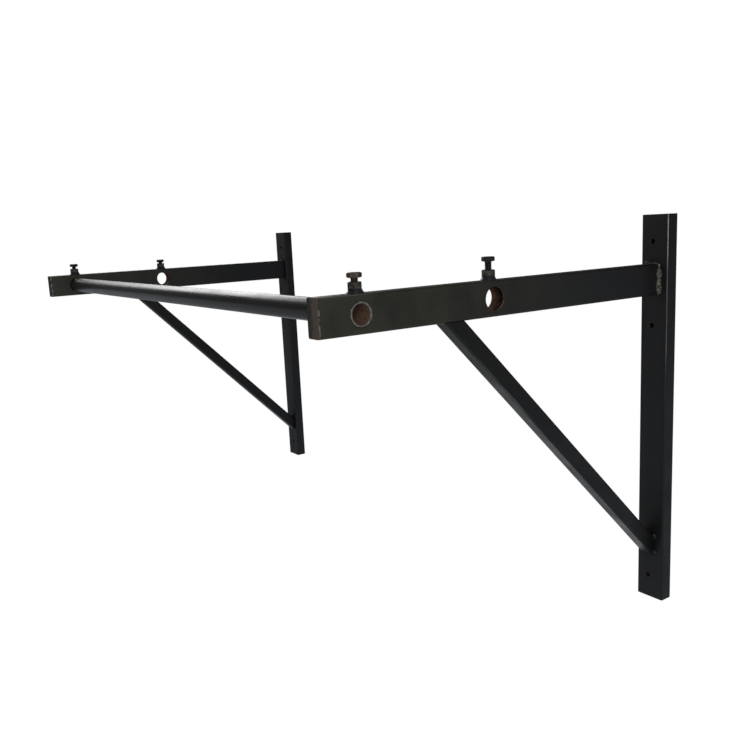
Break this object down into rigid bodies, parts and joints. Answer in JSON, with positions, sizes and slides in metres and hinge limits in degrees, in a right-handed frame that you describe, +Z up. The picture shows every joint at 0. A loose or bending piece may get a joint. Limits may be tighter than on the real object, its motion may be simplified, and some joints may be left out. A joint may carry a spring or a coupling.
{
  "type": "pull up bar",
  "caption": "Wall-mounted pull-up bar: a round steel bar clamped across welded triangular brackets, with a second set of sockets nearer the wall",
  "frame": {"origin": "on the wall plane, midway between the two brackets, level with the feet of the wall rails", "axes": "+X along the bar to the right as seen from the room, +Y into the wall, +Z up"},
  "size_m": [1.308, 0.6691, 0.656],
  "materials": {
    "black_paint": "semi-matt black paint, thinly brushed, worn at the edges",
    "bar_paint": "satin dark grey paint, polished by handling",
    "primer": "matt red-brown primer over bare steel",
    "zinc_steel": "dull zinc plate with brown staining",
    "bare_weld": "bare rippled weld"
  },
  "bodies": {
    "brackets": {"left_wall_rail": "black_paint", "left_arm": "black_paint", "left_arm_end_plate": "primer", "left_brace": "black_paint", "left_arm_side_weld": "bare_weld", "left_arm_top_weld": "bare_weld", "left_brace_head_weld": "black_paint", "left_brace_foot_upper_weld": "bare_weld", "left_brace_foot_lower_weld": "bare_weld", "left_front_nut": "zinc_steel", "left_front_nut_weld": "black_paint", "left_rear_nut": "zinc_steel", "left_rear_nut_weld": "black_paint", "right_wall_rail": "black_paint", "right_arm": "black_paint", "right_arm_end_plate": "primer", "right_brace": "black_paint", "right_arm_side_weld": "bare_weld", "right_arm_top_weld": "bare_weld", "right_brace_head_weld": "black_paint", "right_brace_foot_upper_weld": "bare_weld", "right_brace_foot_lower_weld": "bare_weld", "right_front_nut": "zinc_steel", "right_front_nut_weld": "black_paint", "right_rear_nut": "zinc_steel", "right_rear_nut_weld": "black_paint"},
    "bar": {"pull_up_bar": "bar_paint"},
    "left_front_clamp_bolt": {"left_front_clamp_bolt": "zinc_steel"},
    "left_rear_clamp_bolt": {"left_rear_clamp_bolt": "zinc_steel"},
    "right_front_clamp_bolt": {"right_front_clamp_bolt": "zinc_steel"},
    "right_rear_clamp_bolt": {"right_rear_clamp_bolt": "zinc_steel"}
  },
  "joints": [
    {"name": "bar_slide", "type": "slide", "parent": "brackets", "child": "bar", "axis": [1, 0, 0], "range_m": [-0.02, 0.02]},
    {"name": "left_front_clamp", "type": "slide", "parent": "brackets", "child": "left_front_clamp_bolt", "axis": [0, 0, 1], "range_m": [0, 0.018]},
    {"name": "left_rear_clamp", "type": "slide", "parent": "brackets", "child": "left_rear_clamp_bolt", "axis": [0, 0, 1], "range_m": [-0.0028, 0.021]},
    {"name": "right_front_clamp", "type": "slide", "parent": "brackets", "child": "right_front_clamp_bolt", "axis": [0, 0, 1], "range_m": [0, 0.018]},
    {"name": "right_rear_clamp", "type": "slide", "parent": "brackets", "child": "right_rear_clamp_bolt", "axis": [0, 0, 1], "range_m": [-0.0112, 0.0125]}
  ]
}
